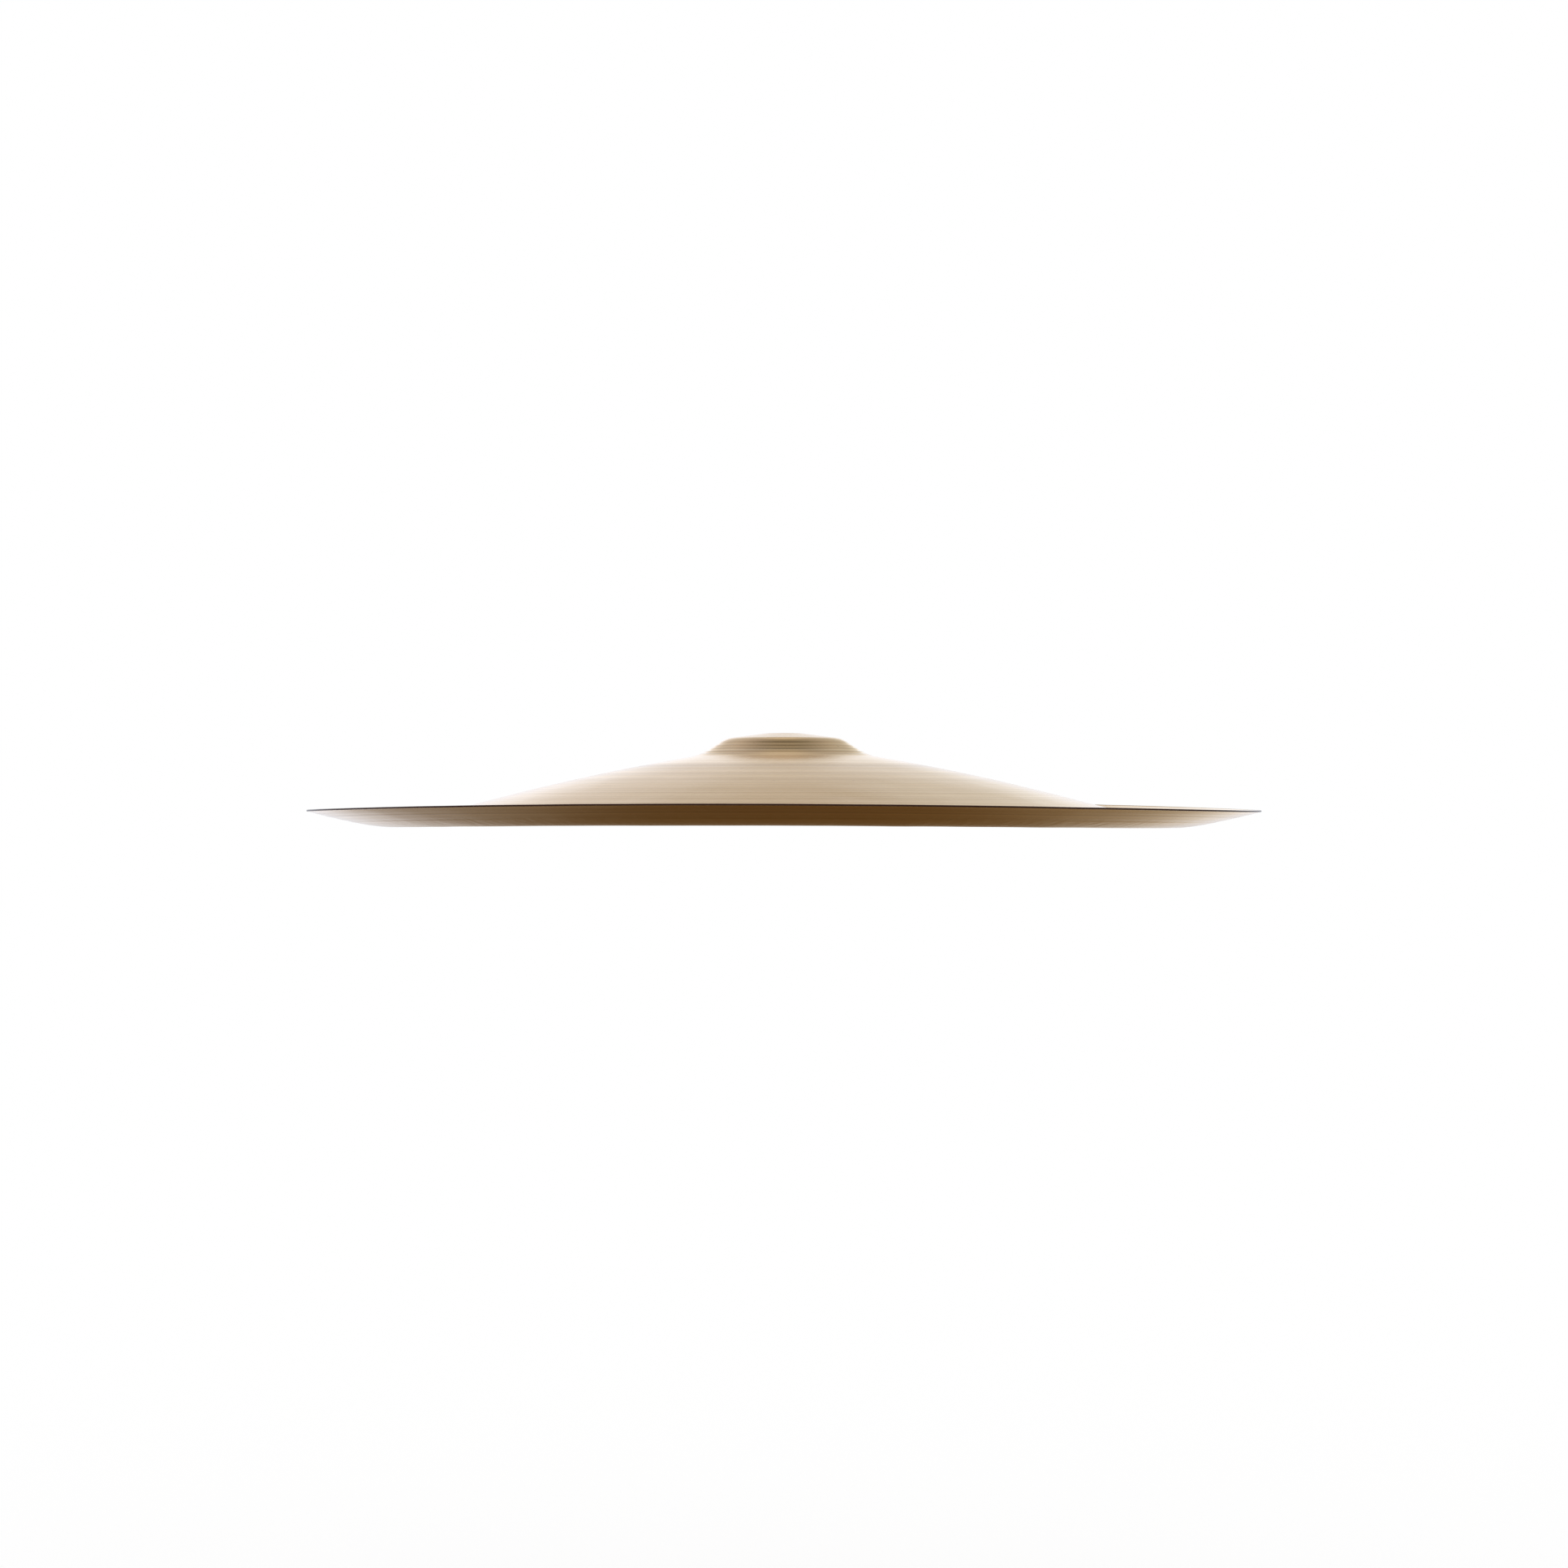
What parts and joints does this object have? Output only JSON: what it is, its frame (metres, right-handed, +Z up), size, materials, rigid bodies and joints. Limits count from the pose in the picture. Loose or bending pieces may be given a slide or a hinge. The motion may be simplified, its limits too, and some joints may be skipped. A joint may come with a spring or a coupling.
{
  "type": "china cymbal",
  "caption": "China cymbal: a thin round bronze disc with a centre hole, a raised bell, a gently falling bow and an upturned outer flange.",
  "frame": {"origin": "on the axis of the cymbal, level with the lowest point of its fold, on which it rests when laid down", "axes": "+Z up along the axis of the cymbal, towards the bell; -Y towards the viewer of the picture; +X to the right"},
  "size_m": [0.4572, 0.4572, 0.0453],
  "materials": {
    "bronze": "bright lathed bronze with fine concentric tool lines, semi-gloss, lightly toned"
  },
  "bodies": {
    "root": {"cymbal": "bronze"}
  },
  "joints": []
}
